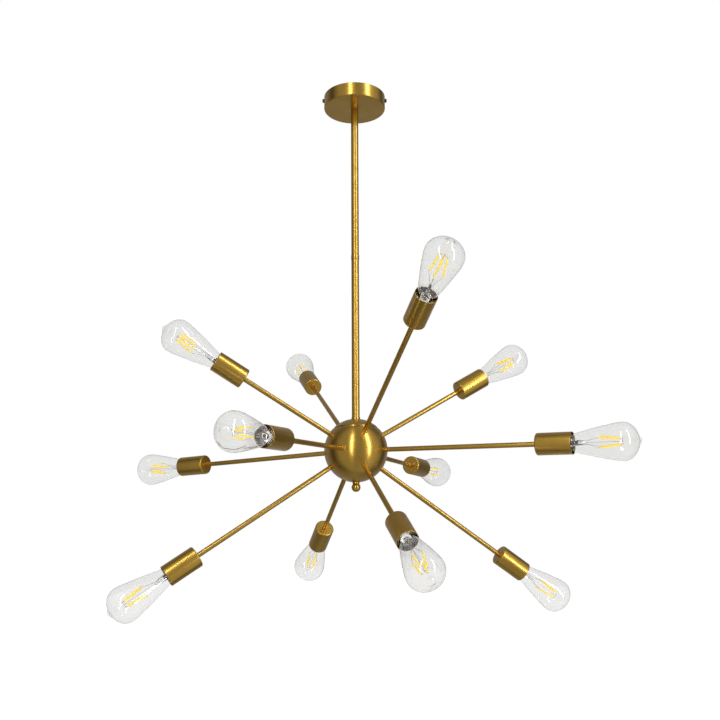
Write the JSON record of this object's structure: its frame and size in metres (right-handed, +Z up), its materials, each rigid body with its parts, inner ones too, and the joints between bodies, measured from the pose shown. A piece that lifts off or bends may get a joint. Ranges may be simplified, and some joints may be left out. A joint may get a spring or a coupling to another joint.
{
  "type": "multi arm chandelier",
  "caption": "Radial ball chandelier: arms in upper, middle and lower rings round a hub on a stem, each with a lamp cup and a screw-in pear-shaped filament bulb, hung from a round canopy.",
  "frame": {"origin": "Centre of the ceiling bracket's slot pair on its top face, which is the ceiling plane; the lamp hangs down along -Z.", "axes": "+Z is up, out of the ceiling slots; +X runs along the bracket from slot to slot; +Y completes the right-handed set."},
  "size_m": [0.9306, 0.8702, 1.0329],
  "materials": {
    "brass": "brushed aged brass, satin",
    "zinc_steel": "zinc plated steel",
    "contact_metal": "bare contact brass",
    "bulb_cap": "rolled bulb cap metal",
    "bulb_glass": "clear blown glass",
    "filament": "yellow filament coating on a clear glass mount",
    "holder_plastic": "moulded insulating body",
    "wire_cover": "insulated wire",
    "connector_plastic": "moulded twist-on connector"
  },
  "bodies": {
    "fixture": {"canopy": "brass", "ceiling_bracket": "zinc_steel", "canopy_screws": "brass", "ground_screw": "zinc_steel", "stem_nipple": "zinc_steel", "rod_nuts": "zinc_steel", "stem_upper": "brass", "stem_coupler": "brass", "stem_lower": "brass", "hub_bushing": "brass", "hub_cap": "brass", "hub_bowl": "brass", "hub_rod": "zinc_steel", "finial": "brass", "long_arms": "brass", "short_arms": "brass", "arm_nuts": "zinc_steel", "cups": "brass", "lamp_holders": "holder_plastic", "holder_shells": "contact_metal", "holder_contacts": "contact_metal", "terminal_block": "holder_plastic", "wires": "wire_cover", "wire_connectors": "connector_plastic"},
    "bulb_01_screw": {"bulb_01_base": "bulb_cap"},
    "bulb_01_turn": {"bulb_01_glass": "bulb_glass", "bulb_01_filaments": "filament"},
    "bulb_02_screw": {"bulb_02_base": "bulb_cap"},
    "bulb_02_turn": {"bulb_02_glass": "bulb_glass", "bulb_02_filaments": "filament"},
    "bulb_03_screw": {"bulb_03_base": "bulb_cap"},
    "bulb_03_turn": {"bulb_03_glass": "bulb_glass", "bulb_03_filaments": "filament"},
    "bulb_04_screw": {"bulb_04_base": "bulb_cap"},
    "bulb_04_turn": {"bulb_04_glass": "bulb_glass", "bulb_04_filaments": "filament"},
    "bulb_05_screw": {"bulb_05_base": "bulb_cap"},
    "bulb_05_turn": {"bulb_05_glass": "bulb_glass", "bulb_05_filaments": "filament"},
    "bulb_06_screw": {"bulb_06_base": "bulb_cap"},
    "bulb_06_turn": {"bulb_06_glass": "bulb_glass", "bulb_06_filaments": "filament"},
    "bulb_07_screw": {"bulb_07_base": "bulb_cap"},
    "bulb_07_turn": {"bulb_07_glass": "bulb_glass", "bulb_07_filaments": "filament"},
    "bulb_08_screw": {"bulb_08_base": "bulb_cap"},
    "bulb_08_turn": {"bulb_08_glass": "bulb_glass", "bulb_08_filaments": "filament"},
    "bulb_09_screw": {"bulb_09_base": "bulb_cap"},
    "bulb_09_turn": {"bulb_09_glass": "bulb_glass", "bulb_09_filaments": "filament"},
    "bulb_10_screw": {"bulb_10_base": "bulb_cap"},
    "bulb_10_turn": {"bulb_10_glass": "bulb_glass", "bulb_10_filaments": "filament"},
    "bulb_11_screw": {"bulb_11_base": "bulb_cap"},
    "bulb_11_turn": {"bulb_11_glass": "bulb_glass", "bulb_11_filaments": "filament"},
    "bulb_12_screw": {"bulb_12_base": "bulb_cap"},
    "bulb_12_turn": {"bulb_12_glass": "bulb_glass", "bulb_12_filaments": "filament"}
  },
  "joints": [
    {"name": "bulb_01_out", "type": "slide", "parent": "fixture", "child": "bulb_01_screw", "axis": [0.2712, -0.8225, 0.5], "range_m": [0, 0.01819]},
    {"name": "bulb_01_unscrew", "type": "hinge", "parent": "bulb_01_screw", "child": "bulb_01_turn", "pos_m": [0.10279, -0.31171, -0.53987], "axis": [0.2712, -0.8225, 0.5], "range_deg": [0, 1800]},
    {"name": "bulb_02_out", "type": "slide", "parent": "fixture", "child": "bulb_02_screw", "axis": [0.8225, 0.2712, 0.5], "range_m": [0, 0.01819]},
    {"name": "bulb_02_unscrew", "type": "hinge", "parent": "bulb_02_screw", "child": "bulb_02_turn", "pos_m": [0.22947, 0.07567, -0.58987], "axis": [0.8225, 0.2712, 0.5], "range_deg": [0, 1800]},
    {"name": "bulb_03_out", "type": "slide", "parent": "fixture", "child": "bulb_03_screw", "axis": [-0.2712, 0.8225, 0.5], "range_m": [0, 0.01819]},
    {"name": "bulb_03_unscrew", "type": "hinge", "parent": "bulb_03_screw", "child": "bulb_03_turn", "pos_m": [-0.10279, 0.31171, -0.53987], "axis": [-0.2712, 0.8225, 0.5], "range_deg": [0, 1800]},
    {"name": "bulb_04_out", "type": "slide", "parent": "fixture", "child": "bulb_04_screw", "axis": [-0.8225, -0.2712, 0.5], "range_m": [0, 0.01819]},
    {"name": "bulb_04_unscrew", "type": "hinge", "parent": "bulb_04_screw", "child": "bulb_04_turn", "pos_m": [-0.22947, -0.07567, -0.58987], "axis": [-0.8225, -0.2712, 0.5], "range_deg": [0, 1800]},
    {"name": "bulb_05_out", "type": "slide", "parent": "fixture", "child": "bulb_05_screw", "axis": [0.8847, -0.4655, -0.0262], "range_m": [0, 0.01819]},
    {"name": "bulb_05_unscrew", "type": "hinge", "parent": "bulb_05_screw", "child": "bulb_05_turn", "pos_m": [0.3353, -0.17641, -0.73929], "axis": [0.8847, -0.4655, -0.0262], "range_deg": [0, 1800]},
    {"name": "bulb_06_out", "type": "slide", "parent": "fixture", "child": "bulb_06_screw", "axis": [0.4655, 0.8847, -0.0262], "range_m": [0, 0.01819]},
    {"name": "bulb_06_unscrew", "type": "hinge", "parent": "bulb_06_screw", "child": "bulb_06_turn", "pos_m": [0.12986, 0.24683, -0.73668], "axis": [0.4655, 0.8847, -0.0262], "range_deg": [0, 1800]},
    {"name": "bulb_07_out", "type": "slide", "parent": "fixture", "child": "bulb_07_screw", "axis": [-0.8847, 0.4655, -0.0262], "range_m": [0, 0.01819]},
    {"name": "bulb_07_unscrew", "type": "hinge", "parent": "bulb_07_screw", "child": "bulb_07_turn", "pos_m": [-0.3353, 0.17641, -0.73929], "axis": [-0.8847, 0.4655, -0.0262], "range_deg": [0, 1800]},
    {"name": "bulb_08_out", "type": "slide", "parent": "fixture", "child": "bulb_08_screw", "axis": [-0.4655, -0.8847, -0.0262], "range_m": [0, 0.01819]},
    {"name": "bulb_08_unscrew", "type": "hinge", "parent": "bulb_08_screw", "child": "bulb_08_turn", "pos_m": [-0.12986, -0.24683, -0.73668], "axis": [-0.4655, -0.8847, -0.0262], "range_deg": [0, 1800]},
    {"name": "bulb_09_out", "type": "slide", "parent": "fixture", "child": "bulb_09_screw", "axis": [0.2611, -0.7919, -0.5519], "range_m": [0, 0.01819]},
    {"name": "bulb_09_unscrew", "type": "hinge", "parent": "bulb_09_screw", "child": "bulb_09_turn", "pos_m": [0.07286, -0.22095, -0.88336], "axis": [0.2611, -0.7919, -0.5519], "range_deg": [0, 1800]},
    {"name": "bulb_10_out", "type": "slide", "parent": "fixture", "child": "bulb_10_screw", "axis": [0.7919, 0.2611, -0.5519], "range_m": [0, 0.01819]},
    {"name": "bulb_10_unscrew", "type": "hinge", "parent": "bulb_10_screw", "child": "bulb_10_turn", "pos_m": [0.30015, 0.09897, -0.93856], "axis": [0.7919, 0.2611, -0.5519], "range_deg": [0, 1800]},
    {"name": "bulb_11_out", "type": "slide", "parent": "fixture", "child": "bulb_11_screw", "axis": [-0.2611, 0.7919, -0.5519], "range_m": [0, 0.01819]},
    {"name": "bulb_11_unscrew", "type": "hinge", "parent": "bulb_11_screw", "child": "bulb_11_turn", "pos_m": [-0.07286, 0.22095, -0.88336], "axis": [-0.2611, 0.7919, -0.5519], "range_deg": [0, 1800]},
    {"name": "bulb_12_out", "type": "slide", "parent": "fixture", "child": "bulb_12_screw", "axis": [-0.7919, -0.2611, -0.5519], "range_m": [0, 0.01819]},
    {"name": "bulb_12_unscrew", "type": "hinge", "parent": "bulb_12_screw", "child": "bulb_12_turn", "pos_m": [-0.30015, -0.09897, -0.93856], "axis": [-0.7919, -0.2611, -0.5519], "range_deg": [0, 1800]}
  ],
  "couplings": [
    {"joint": "bulb_01_out", "follows": "bulb_01_unscrew", "m_per_rad": 0.00057757},
    {"joint": "bulb_02_out", "follows": "bulb_02_unscrew", "m_per_rad": 0.00057757},
    {"joint": "bulb_03_out", "follows": "bulb_03_unscrew", "m_per_rad": 0.00057757},
    {"joint": "bulb_04_out", "follows": "bulb_04_unscrew", "m_per_rad": 0.00057757},
    {"joint": "bulb_05_out", "follows": "bulb_05_unscrew", "m_per_rad": 0.00057757},
    {"joint": "bulb_06_out", "follows": "bulb_06_unscrew", "m_per_rad": 0.00057757},
    {"joint": "bulb_07_out", "follows": "bulb_07_unscrew", "m_per_rad": 0.00057757},
    {"joint": "bulb_08_out", "follows": "bulb_08_unscrew", "m_per_rad": 0.00057757},
    {"joint": "bulb_09_out", "follows": "bulb_09_unscrew", "m_per_rad": 0.00057757},
    {"joint": "bulb_10_out", "follows": "bulb_10_unscrew", "m_per_rad": 0.00057757},
    {"joint": "bulb_11_out", "follows": "bulb_11_unscrew", "m_per_rad": 0.00057757},
    {"joint": "bulb_12_out", "follows": "bulb_12_unscrew", "m_per_rad": 0.00057757}
  ]
}
